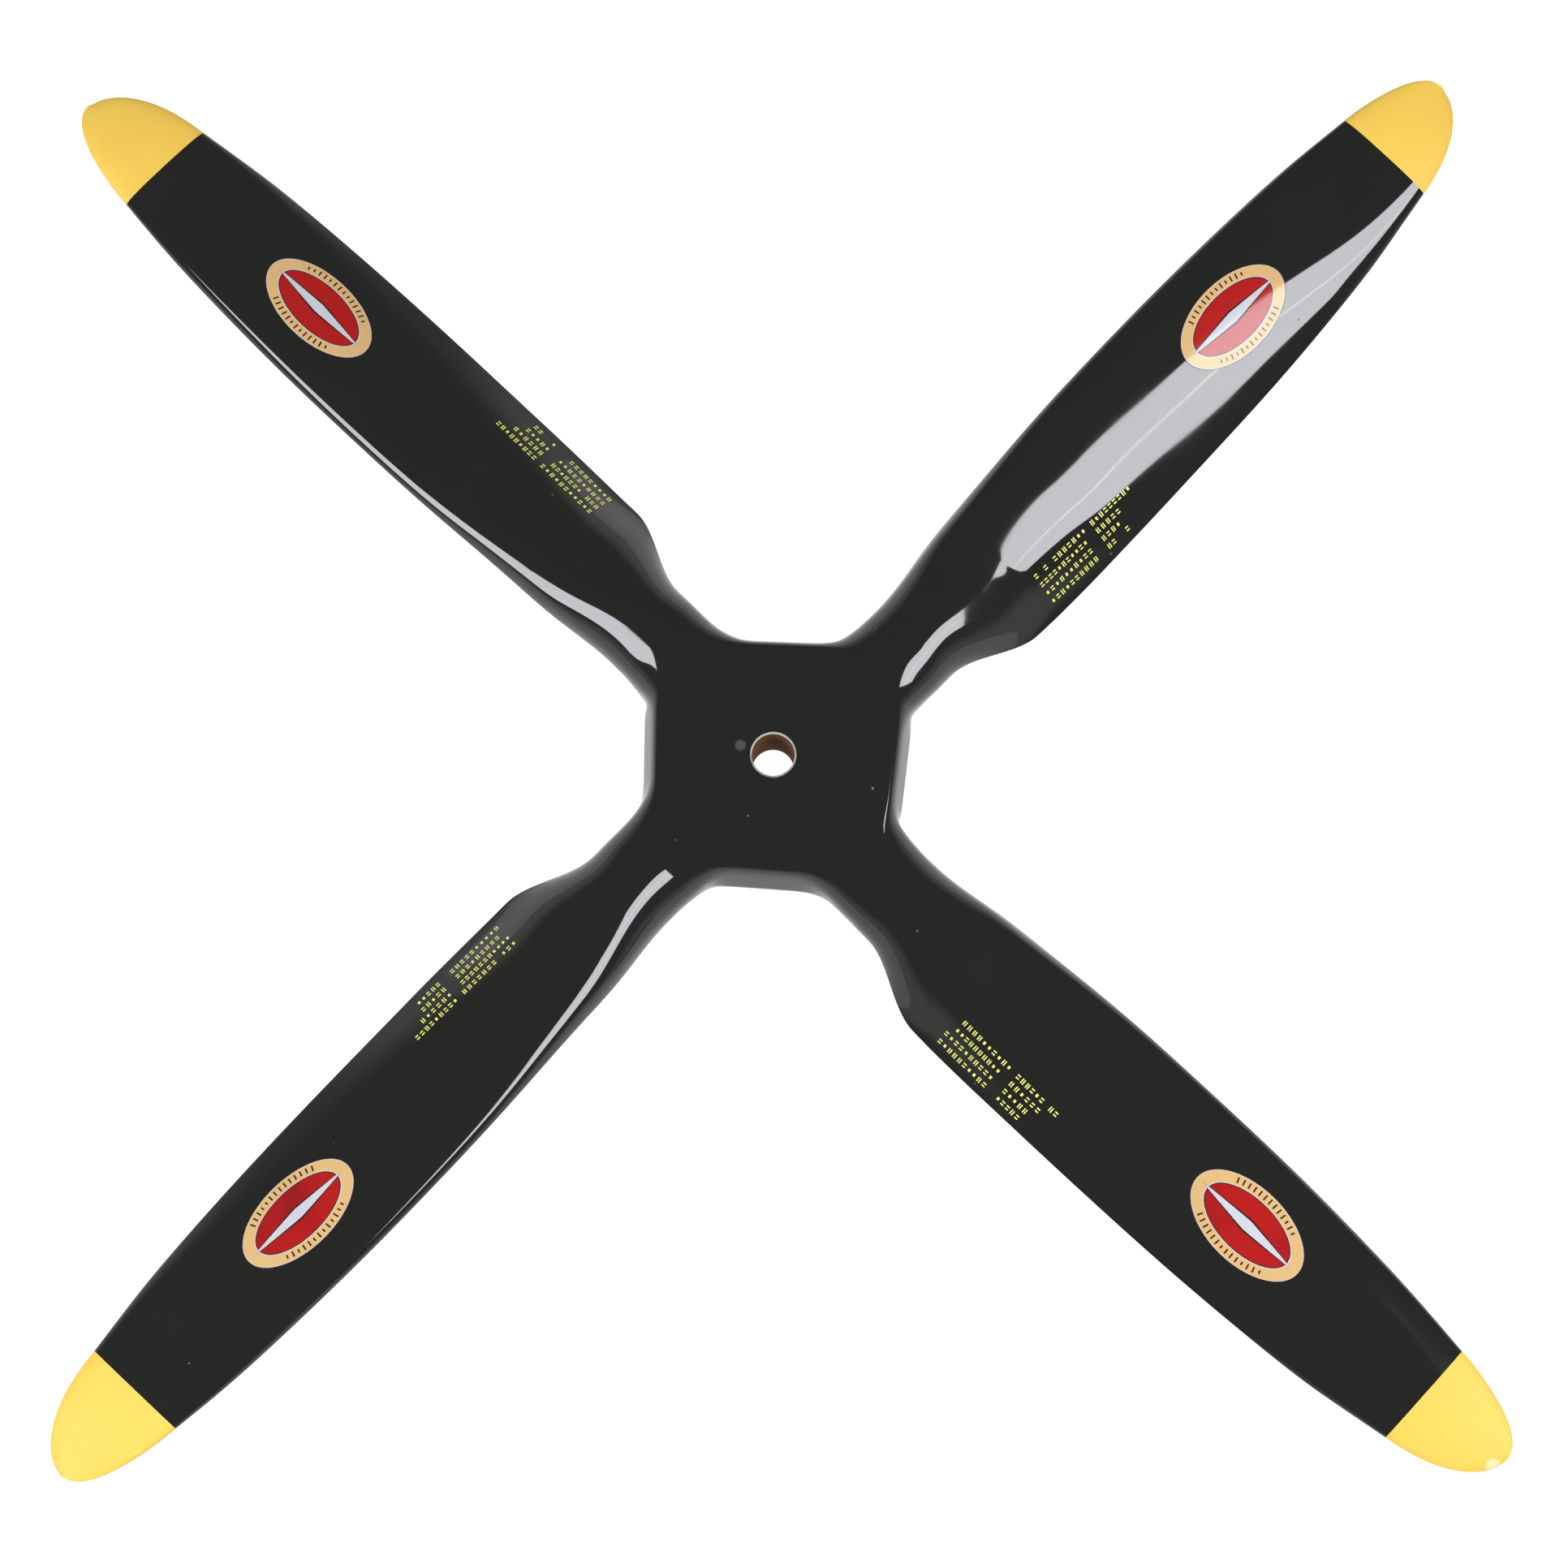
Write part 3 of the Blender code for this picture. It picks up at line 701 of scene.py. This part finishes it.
def finishBlack():
    tree = black.node_tree
    painted = paint(black, gelCoat)
    place = tree.nodes.new("ShaderNodeTexCoord").outputs["Object"]
    patchy = span(tree, noise(tree, place, gelCoat["smudgePatches"]), *gelCoat["smudgeClears"])
    wiped = calculate(tree, "MULTIPLY", spots(black, gelCoat["smudge"]), patchy)
    smudged = blend(tree, wiped, painted, gelCoat["smudgeColour"])
    # three pale bluish spots: partly dust, partly painted glints of the lamp on the hub's lower right corner
    spottedAndGlinted = blend(tree, spots(black, gelCoat["smallSpots"]), smudged, gelCoat["spotAndGlintColour"])
    feed(tree, tree.nodes["Principled BSDF"].inputs["Base Color"], spottedAndGlinted)


finishBlack()
tipPaint = {
    "base": (0.585, 0.37, 0.056),
    "tone": (0.60, 0.405, 0.066),
    "toneShare": 0.6,
    "dust": (0.42, 0.29, 0.06),
    "rough": 0.5,
    "roughSwing": 0.1,
    "ripple": (0.006 * mm, 140.0),
    "blemish": [(1.0 * mm, -277.8 * mm, 14.8 * mm, 2.6 * mm)],  # rubbed pale at the end of blade 4
    "rubbedColour": (0.62, 0.58, 0.45, 1),
    "rubbedShare": 0.5,
}
yellow = shaderFor("yellowPaint", Base_Color=(*tipPaint["base"], 1), Roughness=0.5, Specular_IOR_Level=0.2)


def finishYellow():
    tree = yellow.node_tree
    painted = paint(yellow, tipPaint)
    rubbed = calculate(tree, "MULTIPLY", spots(yellow, tipPaint["blemish"]), tipPaint["rubbedShare"])
    colour = blend(tree, rubbed, painted, tipPaint["rubbedColour"])
    feed(tree, tree.nodes["Principled BSDF"].inputs["Base Color"], colour)


finishYellow()

print("moulding")
whole = makeMoulding()
mouldingPiece = keepFaces(whole, "moulded_hub_and_blades", lambda face: face.material_index == 0)
shadeSmooth(mouldingPiece)
declare(mouldingPiece, "black_gelcoat", "hub", "blade_1", "blade_2", "blade_3", "blade_4")


def makeTip(index):  # the yellow end of one blade
    along = Vector(turned(np.array([1.0, 0, 0]), index))
    middle = tipRadius / 2

    def onThisBlade(face):
        return face.material_index == 1 and face.calc_center_median().dot(along) > middle

    piece = keepFaces(whole, f"painted_tip_{index + 1}", onThisBlade)
    shadeSmooth(piece)
    declare(piece, "yellow_paint", f"tip_{index + 1}")


for index in range(bladeCount):
    makeTip(index)
bpy.data.objects.remove(whole)
print("triangles", sum(len(p.vertices) - 2 for p in mouldingPiece.data.polygons))

print("bore")
bore = {
    "radius": 6.0 * mm,
    "outer": 6.57 * mm,
    "chamfer": 0.4 * mm,
    "lip": 0.1 * mm,
    "tuck": 0.05 * mm,  # how far the liner's outer edge lies below the skin
    "segments": 128,
    "wallColours": ((0.075, 0.024, 0.005, 1), (0.19, 0.068, 0.013, 1)),
    "poreColour": (0.03, 0.012, 0.005, 1),
    "rimColours": ((0.30, 0.28, 0.26, 1), (0.12, 0.09, 0.07, 1)),
}
brown = shaderFor("boreWall", Base_Color=(0.13, 0.05, 0.015, 1), Roughness=0.8, Specular_IOR_Level=0.08)
rim = shaderFor("boreRim", Base_Color=(0.26, 0.25, 0.24, 1), Roughness=0.4)


def finishBore():  # glued brown layers across the bore, and a rubbed rim
    tree = brown.node_tree
    shader = tree.nodes["Principled BSDF"]
    place = tree.nodes.new("ShaderNodeTexCoord").outputs["Object"]
    waves = addNode(tree, "ShaderNodeTexWave", bands_direction="Z", Vector=place, Scale=170.0, Distortion=3.0)
    layers = waves.outputs["Fac"]
    pores = useGroup(brown, specks, Scale=900.0, Share=0.3, Size=0.3)
    layered = blend(tree, layers, *bore["wallColours"])
    feed(tree, shader.inputs["Base Color"], blend(tree, pores, layered, bore["poreColour"]))
    feed(tree, shader.inputs["Roughness"], calculate(tree, "MULTIPLY_ADD", layers, 0.15, 0.7))
    ripple(brown, 0.03 * mm, 700.0)

    tree = rim.node_tree
    worn = useGroup(rim, smears, Scale=260.0, Hairlines=0.4)
    feed(tree, tree.nodes["Principled BSDF"].inputs["Base Color"], blend(tree, worn, *bore["rimColours"]))
    ripple(rim, 0.02 * mm, 500.0)


finishBore()


def makeBore():
    inner, outer, chamfer, lip = bore["radius"], bore["outer"], bore["chamfer"], bore["lip"]
    top, tuck = hubThickness, bore["tuck"]
    profile = [
        (outer, tuck),
        (outer, top - tuck),
        (outer - lip, top),
        (inner + lip, top - chamfer + lip),
        (inner, top - chamfer),
        (inner, top * 2 / 3),
        (inner, top / 3),
        (inner, chamfer),
        (inner + lip, chamfer - lip),
        (outer - lip, 0),
    ]
    wall = range(4, 7)  # the profile's steps that are bare brown
    angles = 2 * np.pi * np.arange(bore["segments"]) / bore["segments"]
    points = [(r * math.cos(a), r * math.sin(a), z) for r, z in profile for a in angles]
    faces, finishes = [], []
    count = bore["segments"]
    for k in range(len(profile)):
        nextRow = (k + 1) % len(profile)
        for i in range(count):
            j = (i + 1) % count
            faces.append((k * count + i, k * count + j, nextRow * count + j, nextRow * count + i))
            finishes.append(0 if k in wall else 1)
    mesh = bpy.data.meshes.new("bore_liner")
    mesh.from_pydata(points, [], faces)
    mesh.materials.append(brown)
    mesh.materials.append(rim)
    mesh.polygons.foreach_set("material_index", finishes)
    faceOutwards(mesh)
    made = addObject("bore_liner", mesh)
    shadeSmooth(made, angle=20)
    return made


declare(makeBore(), "brown_core", "hub_core")

print("badges")
inks = {  # base, second tone and how much of that shows
    "badgeRed": ((0.275, 0.0055, 0.0055), (0.13, 0.003, 0.006), 0.9),
    "badgeDark": ((0.03, 0.008, 0.006), (0.05, 0.012, 0.008), 0.5),
    "badgeTan": ((0.45, 0.285, 0.12), (0.41, 0.25, 0.10), 0.6),
    "badgePale": ((0.38, 0.38, 0.41), (0.31, 0.31, 0.34), 0.6),
}


def makeInk(name, base, tone, toneShare):
    made = shaderFor(name, Base_Color=(*base, 1), Roughness=0.12, Specular_IOR_Level=0.3)
    finish = {"base": base, "tone": tone, "toneShare": toneShare, "dust": tone}
    paint(made, {**finish, "rough": 0.09, "roughSwing": 0.06, "ripple": (0.004 * mm, 90.0)})
    return made


prints = [makeInk(name, *tones) for name, tones in inks.items()]
redInk, darkInk, tanInk, paleInk = range(len(prints))  # each ink's place among a badge's materials
badge = {
    "centres": [
        (185.8 * mm, -0.75 * mm),
        (187.0 * mm, -0.6 * mm),
        (183.6 * mm, -1.5 * mm),
        (185.2 * mm, 0.3 * mm),
    ],
    "half": (19.2 * mm, 10.6 * mm),
    "redHalf": (14.6 * mm, 7.0 * mm),
    "segments": 144,
    "lift": 0.07 * mm,
    "sink": 0.03 * mm,
    "redRings": 12,
    # share of the way from the red field's edge to the rim, and the ink inside it
    "ringZones": [
        (0.07, darkInk),
        (0.13, paleInk),
        (0.30, tanInk),
        (0.5, tanInk),
        (0.7, tanInk),
        (0.9, tanInk),
        # a thin pale ring inside the dark rim: a painted highlight, standing for the glint along the badge's
        # lit edge
        (0.94, paleInk),
        (1.0, darkInk),
    ],
    "lozenge": (16.8 * mm, 2.1 * mm),
    "lozengeLift": 0.1 * mm,
    "lozengeSteps": 40,
    "lozengeFullness": 0.85,
    "lozengePoint": 0.02 * mm,
    "lozengeRows": (-1, -0.72, 0, 0.72, 1),  # shares of its half width
}
surfaceTree = BVHTree.FromObject(mouldingPiece, bpy.context.evaluated_depsgraph_get())


def onBlade(x, y, index):  # the point of the skin above a place on a blade's plan, and its normal
    place = turned(np.array([x, y, rayHeight]), index)
    spot, normal, _, _ = surfaceTree.ray_cast(Vector(place), Vector((0, 0, -1)))
    return spot, normal


def drape(name, flat, faces, faceInks, index, lift):  # a thin closed plate that follows the skin
    over, under = [], []
    for x, y in flat:
        spot, normal = onBlade(x, y, index)
        over.append(spot + normal * lift)
        under.append(spot - normal * badge["sink"])
    count = len(flat)
    lower = [tuple(count + i for i in reversed(face)) for face in faces]
    edges = {}
    for face, ink in zip(faces, faceInks):
        for a, b in zip(face, face[1:] + face[:1]):
            edges[(a, b)] = ink
    border = [(edge, ink) for edge, ink in edges.items() if (edge[1], edge[0]) not in edges]
    sides = [(b, a, a + count, b + count) for (a, b), _ in border]
    mesh = bpy.data.meshes.new(name)
    mesh.from_pydata(over + under, [], faces + lower + sides)
    for ink in prints:
        mesh.materials.append(ink)
    mesh.polygons.foreach_set("material_index", faceInks + faceInks + [ink for _, ink in border])
    made = addObject(name, mesh)
    shadeSmooth(made, angle=50)
    return made


def ellipseRings(centre, halves, ringInks, segments):  # a flat disc of rings, with an ink for each
    flat = [centre]
    faces, faceInks = [], []
    for k, (a, b) in enumerate(halves):
        for i in range(segments):
            angle = 2 * math.pi * i / segments
            flat.append((centre[0] + a * math.cos(angle), centre[1] + b * math.sin(angle)))
        outer = 1 + k * segments
        inner = outer - segments
        for i in range(segments):
            j = (i + 1) % segments
            if k == 0:
                faces.append((0, outer + i, outer + j))
            else:
                faces.append((inner + i, outer + i, outer + j, inner + j))
            faceInks.append(ringInks[k])
    return flat, faces, faceInks


def lozenge(centre):  # a plain pale lozenge with a dark edge
    a, b = badge["lozenge"]
    steps, rows = badge["lozengeSteps"], badge["lozengeRows"]
    rowInks = [darkInk] + [paleInk] * (len(rows) - 3) + [darkInk]
    flat, faces, faceInks = [], [], []
    for i in range(steps + 1):
        x = -a + 2 * a * i / steps
        width = max(b * (1 - abs(x) / a) ** badge["lozengeFullness"], badge["lozengePoint"])
        flat += [(centre[0] + x, centre[1] + width * row) for row in rows]
    for i in range(steps):
        for k, ink in enumerate(rowInks):
            corner = i * len(rows) + k
            across = corner + len(rows)
            faces.append((corner, across, across + 1, corner + 1))
            faceInks.append(ink)
    return flat, faces, faceInks


def makeBadge(index):
    centre = badge["centres"][index]
    (outerA, outerB), (redA, redB) = badge["half"], badge["redHalf"]
    count = badge["redRings"]
    halves = [(redA * k / count, redB * k / count) for k in range(1, count + 1)]
    ringInks = [redInk] * count
    for share, ink in badge["ringZones"]:
        halves.append((mix(redA, outerA, share), mix(redB, outerB, share)))
        ringInks.append(ink)
    oval = ellipseRings(centre, halves, ringInks, badge["segments"])
    plate = drape(f"oval_badge_{index + 1}", *oval, index, badge["lift"])
    declare(plate, "badge_print", f"badge_{index + 1}")
    motif = drape(f"badge_lozenge_{index + 1}", *lozenge(centre), index, badge["lozengeLift"])
    declare(motif, "badge_print")


for index in range(bladeCount):
    makeBadge(index)

print("marks")
marks = {
    # start of the block along each blade, then each row's offset across it
    "starts": [91.5 * mm, 89.4 * mm, 88.4 * mm, 88.8 * mm],
    "rows": [-14.4 * mm, -17.0 * mm, -19.5 * mm, -22.0 * mm],
    "leftLengths": [19.2 * mm, 17.6 * mm, 17.3 * mm, 17.3 * mm],
    "rightStart": 22.9 * mm,
    "rightLengths": [14.6 * mm, 10.2 * mm, 7.8 * mm, 7.3 * mm],
    "spacing": 1.75 * mm,
    "lift": 0.02 * mm,
    "chance": 0.93,
    "seed": 7,
    "halfDepth": 0.03,
    # each small shape as boxes, given by middle and half size in mm: two bars, two dashes, a block
    "shapes": [
        [(-0.34, 0, 0.17, 0.85), (0.34, 0, 0.17, 0.85)],
        [(0, 0.5, 0.55, 0.2), (0, -0.5, 0.55, 0.2)],
        [(0, 0, 0.36, 0.5)],
    ],
}
ticks = {
    "ring": (16.9 * mm, 8.85 * mm),  # the ellipse they stand on
    "arcs": [(52, 128), (228, 312)],
    "arcSteps": 48,
    "spacing": 1.7 * mm,
    "lift": 0.09 * mm,
    "chance": 1.0,
    "seed": 3,
    "shapes": [[(0, 0, 0.24, 0.85)], [(0, 0, 0.24, 0.85)], [(0, 0, 0.24, 0.55)]],
}
stencil = {
    "base": (0.55, 0.54, 0.10),
    "tone": (0.36, 0.37, 0.06),
    "toneShare": 0.8,
    "dust": (0.15, 0.15, 0.04),
    "rough": 0.35,
    "roughSwing": 0.1,
    "ripple": (0.006 * mm, 400.0),
}
stencilPaint = shaderFor("stencilPaint", Base_Color=(*stencil["base"], 1), Roughness=0.4)
paint(stencilPaint, stencil)


def boxesObject(name, boxes):  # closed flat boxes
    points, faces = [], []
    for x, y, halfX, halfY in boxes:
        start = len(points)
        west, east, south, north = x - halfX, x + halfX, y - halfY, y + halfY
        for z in (-marks["halfDepth"], marks["halfDepth"]):
            corners = [(west, south), (east, south), (east, north), (west, north)]
            points += [(a * mm, b * mm, z * mm) for a, b in corners]
        sides = [(0, 1, 5, 4), (1, 2, 6, 5), (2, 3, 7, 6), (3, 0, 4, 7), (3, 2, 1, 0), (4, 5, 6, 7)]
        faces += [tuple(start + corner for corner in side) for side in sides]
    mesh = bpy.data.meshes.new(name)
    mesh.from_pydata(points, [], faces)
    return addObject(name, mesh)


def marksTree():  # stands one of three small shapes at every step along the runs, flat on the skin below
    tree = bpy.data.node_groups.new("marksOnSkin", "GeometryNodeTree")
    tree.interface.new_socket("Geometry", in_out="INPUT", socket_type="NodeSocketGeometry")
    for key in ("Skin", "Shape A", "Shape B", "Shape C"):
        tree.interface.new_socket(key, in_out="INPUT", socket_type="NodeSocketObject")
    for key, kind in (("Spacing", "Float"), ("Lift", "Float"), ("Chance", "Float"), ("Seed", "Int")):
        tree.interface.new_socket(key, in_out="INPUT", socket_type=f"NodeSocket{kind}")
    tree.interface.new_socket("Finish", in_out="INPUT", socket_type="NodeSocketMaterial")
    tree.interface.new_socket("Geometry", in_out="OUTPUT", socket_type="NodeSocketGeometry")
    given = tree.nodes.new("NodeGroupInput").outputs
    curve = addNode(tree, "GeometryNodeMeshToCurve", Mesh=given["Geometry"])
    steps = addNode(tree, "GeometryNodeCurveToPoints", mode="LENGTH", Length=given["Spacing"])
    feed(tree, steps.inputs["Curve"], curve.outputs[0])
    skin = addNode(tree, "GeometryNodeObjectInfo", Object=given["Skin"])
    ray = tree.nodes.new("GeometryNodeRaycast")
    feed(tree, ray.inputs["Target Geometry"], skin.outputs["Geometry"])
    ray.inputs["Ray Direction"].default_value = (0, 0, -1)
    ray.inputs["Ray Length"].default_value = 1
    raised = addNode(tree, "ShaderNodeVectorMath", operation="SCALE", Scale=given["Lift"])
    feed(tree, raised.inputs[0], ray.outputs["Hit Normal"])
    landed = addNode(tree, "ShaderNodeVectorMath", operation="ADD")
    feed(tree, landed.inputs[0], ray.outputs["Hit Position"])
    feed(tree, landed.inputs[1], raised.outputs[0])
    upright = addNode(tree, "FunctionNodeAlignRotationToVector", axis="Z", Vector=ray.outputs["Hit Normal"])
    facing = addNode(tree, "FunctionNodeAlignRotationToVector", axis="X", pivot_axis="Z")
    feed(tree, facing.inputs["Vector"], steps.outputs["Tangent"])
    feed(tree, facing.inputs["Rotation"], upright.outputs[0])
    keep = addNode(tree, "GeometryNodeStoreNamedAttribute", data_type="QUATERNION", Name="facing")
    feed(tree, keep.inputs["Geometry"], steps.outputs["Points"])
    feed(tree, keep.inputs["Value"], facing.outputs[0])
    moved = addNode(tree, "GeometryNodeSetPosition", Geometry=keep.outputs[0], Position=landed.outputs[0])
    shapes = tree.nodes.new("GeometryNodeJoinGeometry")
    for key in ("Shape C", "Shape B", "Shape A"):
        info = addNode(tree, "GeometryNodeObjectInfo", Object=given[key])
        info.inputs["As Instance"].default_value = True
        tree.links.new(info.outputs["Geometry"], shapes.inputs[0])
    chance = addNode(tree, "FunctionNodeRandomValue", data_type="BOOLEAN", Seed=given["Seed"])
    feed(tree, chance.inputs["Probability"], given["Chance"])
    pick = addNode(tree, "FunctionNodeRandomValue", data_type="INT", Min=0, Max=2, Seed=given["Seed"])
    stood = tree.nodes.new("GeometryNodeInstanceOnPoints")
    feed(tree, stood.inputs["Points"], moved.outputs[0])
    feed(tree, stood.inputs["Selection"], chance.outputs["Value"])
    feed(tree, stood.inputs["Instance"], shapes.outputs[0])
    stood.inputs["Pick Instance"].default_value = True
    feed(tree, stood.inputs["Instance Index"], pick.outputs["Value"])
    held = addNode(tree, "GeometryNodeInputNamedAttribute", data_type="QUATERNION", Name="facing")
    feed(tree, stood.inputs["Rotation"], held.outputs["Attribute"])
    whole = addNode(tree, "GeometryNodeRealizeInstances", Geometry=stood.outputs[0])
    finished = addNode(tree, "GeometryNodeSetMaterial", Geometry=whole.outputs[0], Material=given["Finish"])
    feed(tree, tree.nodes.new("NodeGroupOutput").inputs[0], finished.outputs[0])
    return tree


def runsObject(name, runs):  # bare edges that the marks follow
    points, edges = [], []
    for run in runs:
        edges += [(len(points) + i, len(points) + i + 1) for i in range(len(run) - 1)]
        points += run
    mesh = bpy.data.meshes.new(name)
    mesh.from_pydata(points, edges, [])
    return addObject(name, mesh)


def standMarks(name, runs, settings, finish):
    host = runsObject(name, runs)
    modifier = host.modifiers.new("Marks", "NODES")
    modifier.node_group = markTree
    stamps = [boxesObject(f"{name}_{i}", boxes) for i, boxes in enumerate(settings["shapes"])]
    values = {
        "Skin": mouldingPiece,
        "Shape A": stamps[0],
        "Shape B": stamps[1],
        "Shape C": stamps[2],
        "Spacing": settings["spacing"],
        "Lift": settings["lift"],
        "Chance": settings["chance"],
        "Seed": settings["seed"],
        "Finish": finish,
    }
    for socket in markTree.interface.items_tree:
        if socket.in_out == "INPUT" and socket.name in values:
            modifier[socket.identifier] = values[socket.name]
    bakeDown(host)
    for stamp in stamps:
        bpy.data.objects.remove(stamp)
    print(name, len(host.data.polygons), "faces")
    declare(host, "badge_print")


def stencilRuns():
    runs = []
    for index, start in enumerate(marks["starts"]):
        for row, y in enumerate(marks["rows"]):
            second = start + marks["rightStart"]
            for x, length in ((start, marks["leftLengths"][row]), (second, marks["rightLengths"][row])):
                ends = np.array([[x, y, rayHeight], [x + length, y, rayHeight]])
                runs.append([tuple(p) for p in turned(ends, index)])
    return runs


def tickRuns():
    runs = []
    for index, (x, y) in enumerate(badge["centres"]):
        for first, last in ticks["arcs"]:
            angles = np.radians(np.linspace(first, last, ticks["arcSteps"]))
            a, b = ticks["ring"]
            high = np.full(len(angles), rayHeight)
            arc = np.stack([x + a * np.cos(angles), y + b * np.sin(angles), high], axis=-1)
            runs.append([tuple(p) for p in turned(arc, index)])
    return runs


markTree = marksTree()
standMarks("stencil_marks", stencilRuns(), marks, stencilPaint)
standMarks("badge_ticks", tickRuns(), ticks, prints[darkInk])

print("floor, light and camera")
studio = {
    "cameraPlace": (-0.1759, -0.1743, 1.1991),
    "cameraRight": (0.71185, -0.70224, -0.01172),
    "cameraUp": (0.68961, 0.69568, 0.20116),
    "lens": 98.31,
    "lensShift": (0.0446, -0.0054),
    "clipEnd": 20.0,
    "floorSize": 6.0,
    "floorGlow": 0.98,
    "paperColours": ((0.11, 0.11, 0.11, 1), (0.09, 0.09, 0.09, 1)),
    "skyColour": (0.95, 1.0, 0.93, 1),
    "horizon": 0.8,
    "zenith": 0.3,
    "skyFades": (0.12, 0.4),  # the height shares between which horizon turns to zenith
}
lamps = {
    "stripRight": {
        "azimuth": -16.8,  # from the camera's right, which lies at -45 degrees
        "elevation": 51.7,
        "roll": -42.9,
        "distance": 1.0,
        "width": 0.408,
        "ends": (-0.422, 0.255),  # along the lamp, from the point that it is turned about
        "colour": (0.93, 0.95, 1.0),
        "radiance": 14.0,
    },
    "stripLeft": {
        "azimuth": -166.6,
        "elevation": 49.5,
        "roll": -42.9,
        "distance": 1.0,
        "width": 0.347,
        "ends": (-0.191, 0.538),
        "colour": (0.93, 0.95, 1.0),
        "radiance": 14.0,
    },
    "warmSeam": {  # the bright line down the middle of the right lamp
        "azimuth": -16.8,
        "elevation": 51.7,
        "roll": -42.9,
        "distance": 0.995,
        "width": 0.016,
        "ends": (-0.400, 0.240),
        "colour": (1.0, 0.93, 0.80),
        "radiance": 5.0,
    },
}


def placeStrip(name, settings):  # a long soft box that faces the propeller
    az = math.radians(settings["azimuth"] - 45)
    el, turn = math.radians(settings["elevation"]), math.radians(settings["roll"])
    out = Vector((math.cos(el) * math.cos(az), math.cos(el) * math.sin(az), math.sin(el)))
    side = Vector((-math.sin(az), math.cos(az), 0))
    rise = out.cross(side)
    rise = rise if rise.z > 0 else -rise
    along = side * math.cos(turn) + rise * math.sin(turn)
    low, high = settings["ends"]
    place = out * settings["distance"] + along * (low + high) / 2
    lamp = bpy.data.lights.new(name, "AREA")
    lamp.shape = "RECTANGLE"
    lamp.size, lamp.size_y = high - low, settings["width"]
    lamp.color = settings["colour"]
    lamp.energy = settings["radiance"] * math.pi * lamp.size * lamp.size_y
    made = addObject(name, lamp)
    made.matrix_world = standing(place, along, out.cross(along), out)


def standing(place, right, up, back):  # the matrix of an object at a place, with its three axes
    return Matrix.Translation(place) @ Matrix((right, up, back)).transposed().to_4x4()


def makeSky():  # brighter near the horizon
    world = bpy.data.worlds.new("studio")
    bpy.context.scene.world = world
    world.use_nodes = True
    tree = world.node_tree
    parts = tree.nodes.new("ShaderNodeSeparateXYZ")
    feed(tree, parts.inputs[0], tree.nodes.new("ShaderNodeNewGeometry").outputs["Incoming"])
    height = calculate(tree, "ABSOLUTE", parts.outputs["Z"])
    level = span(tree, height, *studio["skyFades"], studio["horizon"], studio["zenith"])
    background = tree.nodes["Background"]
    background.inputs["Color"].default_value = studio["skyColour"]
    feed(tree, background.inputs["Strength"], level)


def makeFloor():  # pale paper
    half = studio["floorSize"] / 2
    mesh = bpy.data.meshes.new("floor")
    corners = [(-half, -half, 0), (half, -half, 0), (half, half, 0), (-half, half, 0)]
    mesh.from_pydata(corners, [], [(0, 1, 2, 3)])
    paper = shaderFor("palePaper", Roughness=0.9, Emission_Color=(1, 1, 1, 1))
    tree = paper.node_tree
    shader = tree.nodes["Principled BSDF"]
    fibres = useGroup(paper, smears, Scale=60.0, Hairlines=0.5)
    feed(tree, shader.inputs["Base Color"], blend(tree, fibres, *studio["paperColours"]))
    shader.inputs["Emission Strength"].default_value = studio["floorGlow"]
    mesh.materials.append(paper)
    addObject("floor", mesh)


def makeCamera():
    camera = addObject("camera", bpy.data.cameras.new("camera"))
    right = Vector(studio["cameraRight"]).normalized()
    back = right.cross(Vector(studio["cameraUp"])).normalized()
    camera.matrix_world = standing(studio["cameraPlace"], right, back.cross(right), back)
    camera.data.lens = studio["lens"]
    camera.data.shift_x, camera.data.shift_y = studio["lensShift"]
    camera.data.clip_end = studio["clipEnd"]
    bpy.context.scene.camera = camera
    bpy.context.scene.view_settings.view_transform = "Standard"


for name, settings in lamps.items():
    placeStrip(name, settings)
makeSky()
makeFloor()
makeCamera()
